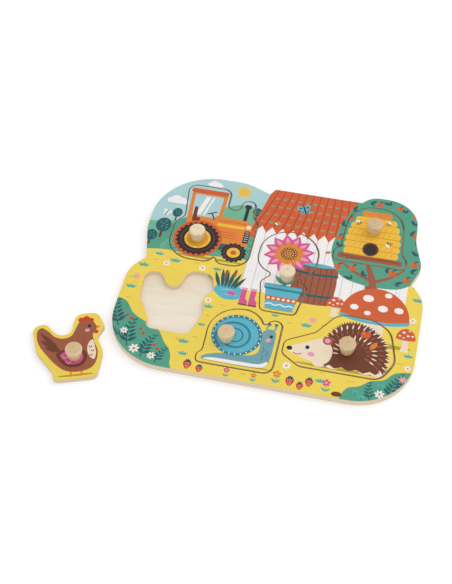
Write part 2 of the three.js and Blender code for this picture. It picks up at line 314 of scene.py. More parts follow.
def stretched_noise(tree, where, scale, detail=3.0, rough=0.6):
    """Noise over millimetres that are scaled apart along x, y and z."""
    at = put(tree, "VectorMath", {0: where, 1: scale}, operation="MULTIPLY").outputs[0]
    feeds = {"Vector": at, "Scale": 1.0, "Detail": detail, "Roughness": rough}
    return put(tree, "TexNoise", feeds).outputs[0]


def upright(tree):
    """How far a face looks up: 1 on a flat top, 0 on a wall."""
    return put(tree, "SeparateXYZ", {0: put(tree, "NewGeometry").outputs["Normal"]}).outputs[2]


def new_group(name, strength, outputs):
    """A node group with one strength going in and these sockets coming out."""
    group = bpy.data.node_groups.new(name, "ShaderNodeTree")
    group.interface.new_socket(strength, in_out="INPUT", socket_type="NodeSocketFloat")
    for socket, kind in outputs:
        group.interface.new_socket(socket, in_out="OUTPUT", socket_type="NodeSocket" + kind)
    return group, group.nodes.new("NodeGroupInput").outputs[0], group.nodes.new("NodeGroupOutput")


def new_finish(name, **sockets):
    """A material with its Principled shader's plain sockets set."""
    finish = bpy.data.materials.new(name)
    finish.use_nodes = True
    shader = finish.node_tree.nodes["Principled BSDF"]
    for socket, value in sockets.items():
        shader.inputs[socket.replace("_", " ")].default_value = value
    return finish, finish.node_tree, shader


# peeled birch: long fine fibres along the board, soft growth bands across it, short dark pores
birch_face, figure, face_out = new_group("birch_face", "Figure", [("Color", "Color"), ("Fibre", "Float")])
here = place_mm(birch_face)
fibre = stretched_noise(birch_face, here, (0.035, 1.6, 0.4), 4)
bands = stretched_noise(birch_face, here, (0.006, 0.075, 0.1), 2)
pores = stretched_noise(birch_face, here, (0.16, 3.6, 1.0), 1)
banded = spread(birch_face, bands, 0.32, 0.68, 0, 1)
fibred = reckon(birch_face, "MULTIPLY", spread(birch_face, fibre, 0.4, 0.75, 0, 0.34), figure)
pored = reckon(birch_face, "MULTIPLY", spread(birch_face, pores, 0.66, 0.8, 0, 0.3), figure)
face_colour = tint(birch_face, banded, linear(233, 220, 198), linear(246, 238, 221))
face_colour = tint(birch_face, fibred, face_colour, linear(220, 202, 172))
face_colour = tint(birch_face, pored, face_colour, linear(196, 170, 136))
birch_face.links.new(face_colour, face_out.inputs["Color"])
birch_face.links.new(fibre, face_out.inputs["Fibre"])

# sawn edge: end grain and long grain by turns, a thin brown glue line at every other ply, all of it browned
# by the toast value: a light saw toast, and on walls in the narrow saw gaps painted shade, with wider darker
# glue lines
PLY = 1.25            # thickness of one ply, mm
birch_edge, pitting, edge_out = new_group("birch_edge", "Pitting", [("Color", "Color")])
here = place_mm(birch_edge)
wander = stretched_noise(birch_edge, here, (0.05, 0.05, 0.02), 1)
height = reckon(birch_edge, "MULTIPLY_ADD", wander, 0.35, read(birch_edge, "layer"))
turns = reckon(birch_edge, "FLOORED_MODULO", reckon(birch_edge, "MULTIPLY", height, 1 / PLY), 2.0)
ends_up = reckon(birch_edge, "GREATER_THAN", turns, 1.0)
pits = stretched_noise(birch_edge, here, (2.6, 2.6, 1.4), 2)
pitted = reckon(birch_edge, "MULTIPLY", spread(birch_edge, pits, 0.45, 0.75, 0, 0.34), pitting)
toast_and_gap_shade = read(birch_edge, "toast_and_gap_shade")
off_glue = reckon(birch_edge, "PINGPONG", height, PLY)
# glue lines widen and darken with the toast value: in the narrow saw gaps this is painted shade
glue_and_shade_width = spread(birch_edge, toast_and_gap_shade, 0, 1, 0.13, 0.42)
glue_and_shade_depth = spread(birch_edge, toast_and_gap_shade, 0, 1, 0.45, 0.9)
glue_and_gap_shade = reckon(birch_edge, "MULTIPLY", spread(birch_edge, off_glue, 0.0, glue_and_shade_width, 1, 0), glue_and_shade_depth)
edge_colour = tint(birch_edge, ends_up, linear(237, 223, 200), linear(224, 204, 174))
edge_colour = tint(birch_edge, pitted, edge_colour, linear(196, 168, 132))
# browner with the toast value: light saw toast, and painted shade on walls in narrow saw gaps
edge_colour = tint(birch_edge, spread(birch_edge, toast_and_gap_shade, 0, 1, 0, 0.5), edge_colour, linear(178, 124, 70))
edge_colour = tint(birch_edge, glue_and_gap_shade, edge_colour, linear(122, 78, 42))
birch_edge.links.new(edge_colour, edge_out.inputs["Color"])

RELIEF = 0.0001       # how far raised fibres stand out of sanded wood, m
bare_ply, tree, shader = new_finish("bare_ply", Roughness=0.62, Specular_IOR_Level=0.3)
face = put(tree, "Group", {"Figure": 1.0}, node_tree=birch_face)
edge = put(tree, "Group", {"Pitting": 1.0}, node_tree=birch_edge)
flat_on = spread(tree, reckon(tree, "ABSOLUTE", upright(tree)), 0.55, 0.85, 0, 1)
ply_colour = tint(tree, flat_on, edge.outputs["Color"], face.outputs["Color"])
raised = put(tree, "Bump", {"Strength": 0.12, "Distance": RELIEF, "Height": face.outputs["Fibre"]})
tree.links.new(ply_colour, shader.inputs["Base Color"])
tree.links.new(raised.outputs[0], shader.inputs["Normal"])
cut_sheet("base_sheet", "base_plate", "board", bare_ply, BASE_THICK, [], ARRIS, 0.0, clean)


# FRAME PLATE
# A sheet of plywood with a farm meadow printed over its top face in flat matt inks, and six recesses
# sawn out along the figures' outlines. It is glued flush on the base plate, edges sanded round.
SHEET_THICK = 5.0
FOOT_ARRIS = 0.02     # hardly any rounding where the sheet is glued down, mm
OPEN_RECESS = np.array([-95.0, -49.0])   # middle of the recess that lies open, mm
OPEN_REACH = 48.0
OPEN_TOAST = 0.12
INK.update({name: linear(*code) for name, code in {
    "straw": (237, 210, 86), "hill": (83, 157, 131), "meadow": (112, 178, 146), "spruce": (44, 90, 96),
    "sky": (171, 207, 209), "brick": (206, 95, 52), "furrow": (172, 70, 40), "chalk": (241, 237, 236),
    "mist": (203, 202, 206), "teal": (113, 160, 168), "slate": (60, 125, 145), "chestnut": (156, 89, 64),
    "umber": (108, 60, 43), "rose": (211, 90, 146), "blush": (234, 157, 176), "orange": (222, 133, 56),
    "cream": (239, 219, 193), "lake": (90, 179, 198), "mint": (80, 172, 157), "cherry": (200, 62, 44),
    "soot": (46, 41, 44), "olive": (174, 156, 54), "honey": (236, 188, 62), "amber": (216, 154, 48),
}.items()})


def inked(colour, *shapes):
    """The shapes, each with the ink that it is printed in."""
    return [(colour, shape) for shape in shapes]


def curve(points, steps=7, closed=True):
    """A smooth line through the points: between each two a cubic, whose slopes are half of the way from
    the point before to the point after."""
    p = np.asarray(points, float)
    if not closed:
        p = np.vstack([2 * p[0] - p[1], p, 2 * p[-1] - p[-2]])
    t = np.linspace(0, 1, steps, endpoint=False)[:, None, None]
    before, after, beyond = np.roll(p, 1, 0), np.roll(p, -1, 0), np.roll(p, -2, 0)
    line = ((2 * t**3 - 3 * t**2 + 1) * p + (t**3 - 2 * t**2 + t) * (after - before) / 2
            + (3 * t**2 - 2 * t**3) * after + (t**3 - t**2) * (beyond - p) / 2)
    line = line.transpose(1, 0, 2)
    if closed:
        return line.reshape(-1, 2)
    return np.vstack([line[1:-2].reshape(-1, 2), p[-2:-1]])


def oval(x, y, across, up=None, turn=0.0, count=36):
    """An ellipse, its long way turned by an angle in radians."""
    a = np.linspace(0, 2 * np.pi, count, endpoint=False)
    u = across * np.cos(a)
    v = (across if up is None else up) * np.sin(a)
    c, s = np.cos(turn), np.sin(turn)
    return np.stack([x + u * c - v * s, y + u * s + v * c], 1)


def stroke(points, width, tip=None):
    """A brush stroke along a smooth open line, its width going evenly to the tip's, with round ends."""
    path = curve(points, 6, False) if len(points) > 2 else np.asarray(points, float)
    along = np.gradient(path, axis=0)
    along /= np.linalg.norm(along, axis=1, keepdims=True)
    side = np.stack([-along[:, 1], along[:, 0]], 1)
    half = np.linspace(width, width if tip is None else tip, len(path))[:, None] / 2
    a = np.linspace(0, np.pi, 7)[1:-1, None]
    far = path[-1] + half[-1] * (np.sin(a) * along[-1] - np.cos(a) * side[-1])
    near = path[0] + half[0] * (np.cos(a) * side[0] - np.sin(a) * along[0])
    return np.vstack([path - half * side, far, (path + half * side)[::-1], near])


def leaf(x0, y0, x1, y1, width):
    """A leaf from its stalk to its tip: half its width times the sine of the way along, fuller low down."""
    t = np.linspace(0, 1, 12)[:, None]
    root = np.array([x0, y0])
    way = np.array([x1 - x0, y1 - y0], float)
    side = np.array([-way[1], way[0]]) / np.hypot(*way)
    bulge = width / 2 * np.sin(np.pi * t**0.85)
    return np.vstack([root + t * way - bulge * side, (root + t * way + bulge * side)[-2:0:-1]])


def rounded(corners, radius):
    """A polygon whose corners are drawn as parabolas that start and end one radius along their sides."""
    p = np.asarray(corners, float)
    back, on = np.roll(p, 1, 0) - p, np.roll(p, -1, 0) - p
    far_back, far_on = (np.linalg.norm(d, axis=1, keepdims=True) for d in (back, on))
    a = p + back / far_back * np.minimum(radius, far_back * 0.48)
    b = p + on / far_on * np.minimum(radius, far_on * 0.48)
    t = np.linspace(0, 1, 6)[:, None, None]
    return ((1 - t)**2 * a + 2 * t * (1 - t) * p + t**2 * b).transpose(1, 0, 2).reshape(-1, 2)


def bar(x0, y0, x1, y1, radius=0.0):
    """An upright rectangle, its corners rounded where a radius is given."""
    corners = [(x0, y0), (x1, y0), (x1, y1), (x0, y1)]
    return rounded(corners, radius) if radius else np.array(corners, float)


def polar(x, y, far, angle):
    """A point at a distance and an angle from another."""
    return x + far * np.cos(angle), y + far * np.sin(angle)


def ring(count, start=0.0):
    """Evenly spaced angles round a circle."""
    return start + np.arange(count) * 2 * np.pi / count


def about(x, y, wide, tall, points):
    """Points given as shares of a width and a height from a middle."""
    return np.array([x, y]) + np.array(points) * (wide, tall)


def daisy(x, y, size, petals="chalk", heart="orange"):
    """Seven narrow petals round a small heart."""
    rays = (oval(*polar(x, y, 0.62 * size, a), 0.42 * size, 0.22 * size, a) for a in ring(7, 0.3))
    return inked(petals, *rays) + inked(heart, oval(x, y, 0.3 * size))


def fern(x, y, angle, size, pairs=6):
    """A curved stalk with slim leaflets that shorten towards its tip."""
    stalk = [(x, y), polar(x, y, size * 0.5, angle + 0.1), polar(x, y, size, angle - 0.1)]
    out = inked("spruce", stroke(stalk, 1.1, 0.5))
    for k in range(1, pairs + 1):
        share = k / (pairs + 0.6)
        root = polar(x, y, size * share, angle + 0.1 - 0.2 * share**2)
        long = size * 0.34 * (1.05 - 0.75 * share)
        tips = [polar(*root, long, angle + turn) for turn in (0.95, -0.95)]
        out += inked("spruce", *(leaf(*root, *tip, long * 0.36) for tip in tips))
    return out


def tuft(x, y, size):
    """Five blades of grass from one root."""
    tall = [size * (0.9 - 0.13 * abs(k)) for k in range(-2, 3)]
    return inked("mint", *(leaf(x + 0.12 * size * k, y, x + 0.42 * size * k, y + up, 0.26 * size)
                           for k, up in zip(range(-2, 3), tall)))


def berry(x, y, size):
    """A strawberry with pale seeds under a green cap of leaves."""
    heart = [(-0.5, 0.35), (-0.36, -0.25), (0, -0.62), (0.36, -0.25), (0.5, 0.35), (0, 0.5)]
    seeds = [(-0.22, 0.18), (0.2, 0.18), (0, -0.05), (-0.16, -0.2), (0.16, -0.2), (0, -0.38), (0, 0.3)]
    cap = (x, y + 0.42 * size)
    out = inked("cherry", curve(about(x, y, size, size, heart)))
    out += inked("cream", *(oval(*seed, 0.05 * size, 0.075 * size, count=8)
                            for seed in about(x, y, size, size, seeds)))
    out += inked("spruce", *(leaf(*cap, *polar(*cap, 0.48 * size, a), 0.24 * size)
                             for a in (0.15, 0.9, 1.57, 2.24, 3.0)))
    return out


def toadstool(x, y, wide, tall, stem):
    """A domed cap with pale spots over a pale stem."""
    half = wide / 2
    a = np.linspace(0, np.pi, 40)
    dome = np.stack([x + half * np.cos(a), y + tall * np.sin(a)], 1)
    lip = np.stack([x - half * np.cos(a[1:-1]), y - 0.12 * tall * np.sin(a[1:-1])], 1)
    foot = [(-0.13, 0), (-0.15, -0.6), (-0.19, -1), (0.19, -1), (0.15, -0.6), (0.13, 0)]
    gills = [(-0.42, 0), (-0.3, -0.24), (0, -0.16), (0.3, -0.24), (0.42, 0)]
    spots = [(-0.62, 0.26, 0.1), (-0.26, 0.62, 0.13), (0.2, 0.34, 0.12), (0.3, 0.82, 0.09),
             (0.66, 0.36, 0.11), (-0.22, 0.12, 0.08)]
    out = inked("cream", curve(about(x, y, wide, stem, foot)))
    out += inked("mist", curve(about(x, y, half, tall, gills)))
    out += inked("brick", np.vstack([dome, lip]))
    out += inked("chalk", *(oval(x + dx * half, y + dy * tall, r * wide * 0.6, r * wide * 0.5)
                            for dx, dy, r in spots))
    return out


def apple(x, y, size):
    """A round apple with a stalk and a leaf."""
    body = [(-1, 0), (-0.7, -0.85), (0, -0.92), (0.7, -0.85), (1, 0), (0.55, 0.8), (0, 0.6), (-0.55, 0.8)]
    out = inked("brick", curve(about(x, y, size, size, body)))
    out += inked("umber", stroke([(x, y + 0.5 * size), (x + 0.15 * size, y + 1.2 * size)], 0.22 * size))
    out += inked("spruce", leaf(x + 0.1 * size, y + 0.95 * size, x + size, y + 1.3 * size, 0.5 * size))
    out += inked("orange", oval(x - 0.45 * size, y + 0.1 * size, 0.16 * size, 0.3 * size, 0.3))
    return out


def bee(x, y, size, turn=0.0):
    """A striped oval body with two pale wings."""
    c, s = np.cos(turn), np.sin(turn)

    def at(u, v):
        return x + size * (u * c - v * s), y + size * (u * s + v * c)

    out = inked("chalk", *(oval(*at(u, 0.62), 0.3 * size, 0.5 * size, turn + 0.2) for u in (-0.15, 0.35)))
    out += inked("honey", oval(*at(0, 0), 0.85 * size, 0.52 * size, turn))
    out += inked("soot", *(stroke([at(u, -0.42), at(u, 0.42)], 0.2 * size) for u in (-0.35, 0.1)))
    out += inked("soot", oval(*at(0.62, 0.06), 0.22 * size, 0.3 * size, turn))
    return out


def butterfly(x, y, size, turn=0.0, wing="lake", spot="spruce"):
    """Four spotted wings round a slim body."""
    out = []
    for a, far, r in ((0.7, 0.6, 0.52), (2.44, 0.6, 0.52), (-0.8, 0.5, 0.38), (-2.34, 0.5, 0.38)):
        middle = polar(x, y, far * size, a + turn)
        out += inked(wing, oval(*middle, r * size, 0.7 * r * size, a + turn))
        out += inked(spot, oval(*middle, 0.42 * r * size, 0.26 * r * size, a + turn))
    tail = polar(x, y, 0.6 * size, turn - np.pi / 2)
    head = polar(x, y, 0.55 * size, turn + np.pi / 2)
    return out + inked("soot", stroke([tail, head], 0.2 * size))


def cloud(x, y, size):
    """Overlapping rounds on a flat foot."""
    puffs = [(-0.8, 0.1, 0.42), (-0.2, 0.35, 0.6), (0.5, 0.2, 0.5), (1.0, 0.02, 0.34)]
    foot = bar(x - 1.1 * size, y - 0.32 * size, x + 1.2 * size, y + 0.1 * size, 0.2 * size)
    return inked("chalk", *(oval(x + dx * size, y + dy * size, r * size) for dx, dy, r in puffs), foot)


meadow = inked("straw", bar(-170, -150, 170, 150))

# sky, sun, two rolling hills and round trees behind the tractor
SUN = (-55.5, 110)
meadow += inked("sky", bar(-170, 4, -20, 150))
meadow += cloud(-122, 82, 9)
meadow += cloud(-88, 113.5, 6.5)
meadow += inked("honey", oval(*SUN, 6.4))
meadow += inked("honey", *(stroke([polar(*SUN, 7.8, a), polar(*SUN, 10, a)], 1.2) for a in ring(12)))
meadow += inked("meadow", curve([(-170, 4), (-20, 4), (-20, 70), (-34, 86), (-52, 91), (-70, 84), (-90, 70),
                                 (-120, 54), (-150, 48), (-170, 40)]))
meadow += inked("hill", curve([(-170, -2), (-20, -2), (-20, 44), (-40, 52), (-66, 62), (-92, 66), (-112, 58),
                               (-128, 38), (-142, 22), (-170, 8)]))
for k in range(5):
    furrow = [(-124, 20 - 2 * k), (-100, 44 - 7 * k), (-66, 50 - 8 * k), (-24, 36 - 8 * k)]
    meadow += inked("meadow", stroke(furrow, 1.3))
TREE_LEAVES = [(-0.4, 0.2), (0.1, 0.45), (0.25, -0.1), (-0.2, -0.4), (-0.1, 0.02), (0.3, -0.5)]
for x, y, size in ((-128, 46, 10), (-137, 30, 7.5), (-118, 66, 6.5), (-36, 84, 6.0), (-29, 78, 4.5)):
    meadow += inked("umber", stroke([(x, y - 1.7 * size), (x, y)], 0.26 * size))
    meadow += inked("spruce", oval(x, y, 0.8 * size, size))
    meadow += inked("hill", *(leaf(x + dx * size, y + dy * size, x + (dx + 0.18) * size,
                                   y + (dy + 0.3) * size, 0.13 * size) for dx, dy in TREE_LEAVES))
meadow += inked("straw", curve([(-170, -20), (-170, 8), (-140, 10), (-118, 13), (-92, 12), (-60, 15),
                                (-36, 16), (-20, 14), (-10, -20)]))

# ploughed field with rows of seedlings
FIELD_FOOT = 58
FIELD_DEEP = 69
meadow += inked("brick", np.array([(-40.5, 48), (100, 48), (100, 140), (-22, 140)], float))
for k in range(-4, 13):
    foot = 30 + 9.5 * (k - 3)
    head = 34 + 7.4 * (k - 3)
    middle = 0.5 * (foot + head) + 0.6
    line = [(foot, FIELD_FOOT), (middle, 92), (head, FIELD_FOOT + FIELD_DEEP)]
    meadow += inked("furrow", stroke(line, 1.5, 1.0))
    for t in 0.2 + 0.17 * np.arange(4):
        x = foot + (head - foot) * t + 4.4
        y = FIELD_FOOT + FIELD_DEEP * t
        meadow += inked("mint", *(leaf(x, y, x + side, y + 2.3, 1.3) for side in (-2.1, 2.1)))

# whitewashed fence of pointed boards
BOARD_PITCH = 10.9
BOARD_WIDE = 10.4
BOARD_FOOT = -22
boards = np.arange(-32.5, 121, BOARD_PITCH)
tops = np.array([p for x in boards
                 for p in ((x + 0.5, 59), (x + 5.2, 66.5), (x + 9.9, 59), (x + BOARD_WIDE, 56))])
feet = [(boards[0], BOARD_FOOT), (boards[-1] + BOARD_WIDE, BOARD_FOOT)]
CRACKS = (20, -8, 31, 8, -14, 26, 12, 30, -4, 22, 6, 28, -10, 18, 2)
meadow += inked("chalk", np.vstack([feet, tops[::-1]]))
meadow += inked("mist", *(stroke([(x - 0.25, BOARD_FOOT), (x - 0.25, 56)], 0.9) for x in boards))
meadow += inked("mist", *(oval(x + dx, y, 0.55, count=10)
                          for x in boards for y in (2.0, 46.0) for dx in (3.4, 7.0)))
meadow += inked("mist", *(stroke([(x + 3, y), (x + 3.4, y + 7), (x + 2.8, y + 14)], 0.45, 0.2)
                          for x, y in zip(boards, CRACKS)))

# rain barrel
meadow += inked("chestnut", curve([(19, -25), (57, -25), (60, -8), (60, 8), (56, 24), (20, 24), (16, 8),
                                   (16, -8)], 8))
meadow += inked("umber", *(stroke([(x, -25), (x * 1.12 - 4.5, 0), (x, 23)], 0.8)
                           for x in (24, 30, 36, 42, 48, 53)))
meadow += inked("spruce", *(stroke([(17, y), (38, y - 1.4), (59.5, y)], 3.0) for y in (-14.5, 13.5)))
meadow += inked("lake", oval(38, 24.2, 17.5, 3.0))
meadow += inked("umber", stroke([(20, 23), (38, 21.2), (56, 23)], 0.8))

# apple tree
meadow += inked("chestnut", curve([(82, -26), (108, -26), (102, -12), (101, 12), (104, 40), (84, 40),
                                   (88, 12), (88, -12)]))
for k in range(3):
    bark = [(92 + 3 * k, -20 + 4 * k), (92.5 + 3 * k, -6 + 3 * k), (91.5 + 3 * k, 8)]
    meadow += inked("umber", stroke(bark, 0.8))
meadow += inked("hill", curve([(49, 42), (50, 70), (57, 98), (68, 124), (90, 142), (120, 138), (140, 112),
                               (146, 70), (143, 34), (126, 13), (104, 8), (84, 9), (62, 17)], 9))
meadow += inked("chestnut", stroke([(96, 6), (94, 18), (88, 34)], 8.5, 5))
meadow += inked("chestnut", stroke([(95, 14), (112, 24), (124, 36)], 4.5, 2))
meadow += inked("chestnut", stroke([(93, 16), (76, 24), (62, 34)], 4.5, 2))
for x, y, a in ((56, 54, 1.9), (54, 84, 1.2), (62, 108, 0.9), (78, 122, 0.4), (100, 124, 2.6),
                (117, 116, 2.2), (128, 100, 1.9), (132, 72, 1.2), (134, 58, 2.0), (130, 36, 0.4),
                (117, 17, 0.2), (106, 30, 1.0), (74, 14, 2.6), (66, 40, 2.2), (84, 20, 1.4), (124, 86, 0.7)):
    meadow += inked("spruce", *(leaf(x, y, *polar(x, y, far, a + d), 0.4 * far)
                                for far, d in ((9.0, 0.25), (6.0, -0.8))))
for place in ((53.5, 68, 3.6), (58, 28, 3.8), (73, 29, 4.0), (113, 30, 4.2), (128, 24, 3.8), (133, 46, 4.0),
              (127.5, 112, 3.4), (131, 86, 4.0), (88, 122.5, 3.6), (61, 97, 3.0), (110, 121, 3.2)):
    meadow += apple(*place)

# toadstools behind the hedgehog
meadow += inked("olive", oval(104, -62, 38, 3.0))
meadow += toadstool(63.5, -24, 19, 12, 13)
meadow += toadstool(103, -30, 68, 37, 42)
meadow += toadstool(136, -50, 19, 13, 15)
meadow += inked("lake", stroke([(70.5, -32), (86, -35.6), (103, -36.6), (120, -35.6), (135.5, -32)], 4.0))

# pond with reeds and a lily, and a pair of boots
LILY = (-40, -31.5)
meadow += inked("lake", curve([(-57, -30), (-46, -38), (-32, -36), (-28, -28), (-34, -20), (-48, -18),
                               (-56, -22)]))
meadow += inked("sky", stroke([(-50, -27), (-44, -25.6), (-38, -26.6)], 0.9))
meadow += inked("sky", stroke([(-45, -32), (-39, -31), (-34, -32)], 0.9))
for x, y, bend in ((-57, -4, -4), (-52, 1, -2), (-47.5, -1, 0), (-43, 2, 2), (-38.5, -2, 4), (-35, -7, 6)):
    meadow += inked("spruce", leaf(-47 + 0.62 * (x + 47), -24, x + bend, y, 4.0))
for x, y in ((-50, -7), (-41, -5)):
    meadow += inked("spruce", stroke([(-46 + 0.5 * (x + 46), -22), (x, y)], 0.9))
    meadow += inked("chestnut", stroke([(x, y - 2), (x + 0.4, y + 5)], 2.8))
meadow += inked("rose", *(leaf(*LILY, *polar(*LILY, 6.0, a), 2.8) for a in (0.3, 0.85, 1.4, 1.95, 2.5)))
for x in (-27.5, -18):
    meadow += inked("rose", rounded([(x - 3, -20), (x - 3, -41), (x + 5.5, -41), (x + 5.5, -36),
                                     (x + 2.6, -33.5), (x + 2.6, -20)], 1.6))
    meadow += inked("blush", bar(x - 3.4, -22.5, x + 3.0, -19.5, 0.8))
    meadow += inked("umber", bar(x - 3.2, -42.2, x + 5.8, -40.4, 0.6))

# planted corners: ferns, red berries, clover and daisies
meadow += inked("hill", curve([(-160, -58), (-140, -60), (-128, -74), (-114, -82), (-100, -88), (-90, -102),
                               (-82, -112), (-79, -124), (-80, -150), (-170, -150), (-170, -60)]))
for place in ((-138, -92, 1.9, 34), (-124, -114, 1.65, 34), (-108, -124, 1.35, 30), (-93, -128, 1.25, 22, 5),
              (-132, -104, 2.5, 15, 4)):
    meadow += fern(*place)
meadow += inked("cherry", *(oval(x, y, 1.7, count=16) for x, y in (
    (-133, -78), (-128, -81), (-116, -92), (-112, -96.5), (-98, -108), (-94, -112))))
for place in ((-116, -116, 5.2), (-98, -121, 4.2), (-131, -97, 3.8)):
    meadow += daisy(*place)
meadow += inked("hill", curve([(170, -84), (150, -88), (132, -92), (122, -102), (110, -106), (100, -114),
                               (90, -118), (85, -128), (84, -150), (170, -150)]))
for place in ((128, -122, 1.3, 29), (141, -112, 1.75, 22, 5), (112, -128, 1.75, 22, 5)):
    meadow += fern(*place)
for x, y in ((98, -121), (104, -126), (120, -110)):
    meadow += inked("mint", *(oval(*polar(x, y, 1.9, a), 1.9, 1.7, a, 20) for a in ring(3, 0.5)))
    meadow += inked("spruce", stroke([(x, y), (x - 0.6, y - 4)], 0.7))
meadow += daisy(120, -119, 4.6)
meadow += daisy(139, -98, 3.8, "blush", "honey")

# the ground: grass, berries, a clod of earth, flowers and short strokes
for place in ((-134, -14, 7), (-104, -2, 7), (-60, -4, 6), (-139, -44, 7), (-58, -53, 6), (-72, -100, 7),
              (-69, -114, 6), (40, -56, 7), (142, -2, 7), (141, -72, 6), (8, -49.5, 5), (64, -118, 6.5),
              (-2, -26, 5), (-59.5, -76, 5), (-122, 4, 6)):
    meadow += tuft(*place)
for place in ((-62, -124, 8), (-50, -126.5, 6.5), (36, -122.5, 8), (46, -126, 6.5), (54, -120, 7.5)):
    meadow += berry(*place)
meadow += inked("umber", curve([(76, -128), (79, -130), (84, -129.5), (86, -127), (83, -124.5), (78, -125)]))
for place in ((-112, -5, 3.6), (-75, -3.4, 3.8), (-137, -28, 4.0, "blush", "honey"), (-60, -43, 3.8),
              (45, -46, 4.0, "blush", "honey"), (140, -26, 3.6), (30, -105, 4.2), (142, -84, 3.4)):
    meadow += daisy(*place)
for x, y, size, colour in ((-24, -126.2, 0.85, "rose"), (2, -126.4, 0.8, "orange"),
                           (23, -122, 1.15, "orange"), (70, -122, 1.15, "rose")):
    head = y + 4.8 * size
    meadow += inked("mint", stroke([(x, y - 4 * size), (x, y + 4 * size)], 0.8))
    meadow += inked("mint", *(leaf(x, y - 4 * size, x + side * size, y, 1.9 * size) for side in (-4, 4)))
    meadow += inked(colour, *(oval(*polar(x, head, 2.0 * size, a), 1.8 * size, 1.3 * size, a, 20)
                              for a in ring(5, 1.57)))
    meadow += inked("honey", oval(x, head, 1.1 * size, count=16))
for x, y in ((-126, -2), (-84, 2), (-144, -30), (-138, -36), (-64, -90), (-80, -96), (22, -54), (55, -50),
             (-10, -123), (90, -110), (140, -40), (132, -80), (-20, -46), (62, -106), (-46, -46), (-58, -62),
             (-140, -56)):
    meadow += inked("olive", stroke([(x, y), (x + 2.6, y - 0.4), (x + 5.2, y + 0.2)], 0.7, 0.3))
for place in ((45, 44, 3.6, 0.4), (-12, 74, 3.2, 2.6), (137, 16, 3.0, 0.8)):
    meadow += bee(*place)
meadow += butterfly(12, 98, 8, 0.4)
meadow += butterfly(-129, 64, 5, -0.3, "chalk", "mist")

# ink on birch: flat matt colour with fine grit and the wood's fibres just showing; wood at worn edges
printed_birch, gritty, print_out = new_group(
    "printed_birch", "Grit", [("Color", "Color"), ("Roughness", "Float"), ("Normal", "Vector")])
here = place_mm(printed_birch)
edge = put(printed_birch, "Group", {"Pitting": 1.0}, node_tree=birch_edge)
face = put(printed_birch, "Group", {"Figure": 0.8}, node_tree=birch_face)
underside = spread(printed_birch, read(printed_birch, "layer"), 0.0, 0.05, 1, 0)
bare = tint(printed_birch, underside, edge.outputs["Color"], face.outputs["Color"])
grit = stretched_noise(printed_birch, here, (2.2, 2.2, 2.2), 2, 0.7)
fibre = stretched_noise(printed_birch, here, (0.05, 1.3, 0.4), 3)
cloudy = stretched_noise(printed_birch, here, (0.03, 0.05, 0.05), 2)
mottle = spread(printed_birch, grit, 0.25, 0.75, -0.07, 0.06)
shade = reckon(printed_birch, "MULTIPLY_ADD", mottle, gritty, 1.0)
shade = reckon(printed_birch, "MULTIPLY", shade, spread(printed_birch, fibre, 0.25, 0.75, 0.965, 1.035))
shade = reckon(printed_birch, "MULTIPLY", shade, spread(printed_birch, cloudy, 0.3, 0.7, 0.98, 1.02))
ink = put(printed_birch, "Attribute", attribute_name="ink")
shaded = put(printed_birch, "VectorMath", {0: ink.outputs["Color"], "Scale": shade}, operation="SCALE")
wear = stretched_noise(printed_birch, here, (0.9, 0.9, 0.9), 3)
worn = reckon(printed_birch, "MULTIPLY_ADD", wear, 0.7, ink.outputs["Alpha"])
covered = spread(printed_birch, worn, 0.72, 0.86, 0, 1)
relief = reckon(printed_birch, "ADD", fibre, grit)
raised = put(printed_birch, "Bump", {"Strength": 0.1, "Distance": RELIEF, "Height": relief})
printed_birch.links.new(tint(printed_birch, covered, bare, shaded.outputs[0]), print_out.inputs["Color"])
printed_birch.links.new(spread(printed_birch, grit, 0.3, 0.7, 0.5, 0.62), print_out.inputs["Roughness"])
printed_birch.links.new(raised.outputs[0], print_out.inputs["Normal"])


def print_finish(name):
    """The printed sheet's finish under the slot's own name."""
    finish, tree, shader = new_finish(name, Specular_IOR_Level=0.2)
    sheet = put(tree, "Group", {"Grit": 1.0}, node_tree=printed_birch)
    tree.links.new(sheet.outputs["Color"], shader.inputs["Base Color"])
    tree.links.new(sheet.outputs["Roughness"], shader.inputs["Roughness"])
    tree.links.new(sheet.outputs["Normal"], shader.inputs["Normal"])
    return finish


def saw_toast_and_gap_shade(places):
    """How brown the recess walls are: strongly browned in the narrow saw gaps round the seated figures,
    mostly as painted shade, and only lightly toasted where the recess lies open.
    """
    return np.where(np.linalg.norm(places - OPEN_RECESS, axis=1) < OPEN_REACH, OPEN_TOAST, 1.0)


cut_sheet("printed_sheet", "frame_plate", "board", print_finish("meadow_print"), SHEET_THICK,
          meadow, FOOT_ARRIS, 0.0, saw_toast_and_gap_shade)


# FIGURES
# Six figures sawn from the same printed sheet, each with the picture's ground round it as a border.
# Five lie in their recesses; the hen lies on the table in front of the board.
FIGURES = ("hen", "snail", "hedgehog", "tractor", "flower", "hive")
HEN_RECESS_KNOB = np.array([-89.3, -62.34])   # where the hen's knob stands when the hen is seated, mm
HEN_LOOSE_TURN = np.radians(20)
FIGURE_ARRIS = 0.2    # rounding at a figure's foot, mm
LOOSE_TOAST = 0.2     # how brown the saw left the loose figure's edge
# the seated figures' edges browner than the loose one's: the same saw toast, and painted shade of the narrow
# gap each sits in
SEATED_TOAST_AND_SHADE = 0.7


def node_span(name):
    """The middle of a solid over the board, and the heights of its foot and its top, in millimetres."""
    low, high = (np.array(corner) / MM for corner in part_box(name))
    return (low + high)[:2] / 2, low[2], high[2]


def laid_loose(inks):
    """The seated hen's picture, turned about its knob and carried to where the hen lies."""
    c, s = np.cos(HEN_LOOSE_TURN), np.sin(HEN_LOOSE_TURN)
    turn = np.array([[c, s], [-s, c]])
    knob, _, _ = node_span("hen_knob")
    return [(colour, (shape - HEN_RECESS_KNOB) @ turn + knob) for colour, shape in inks]


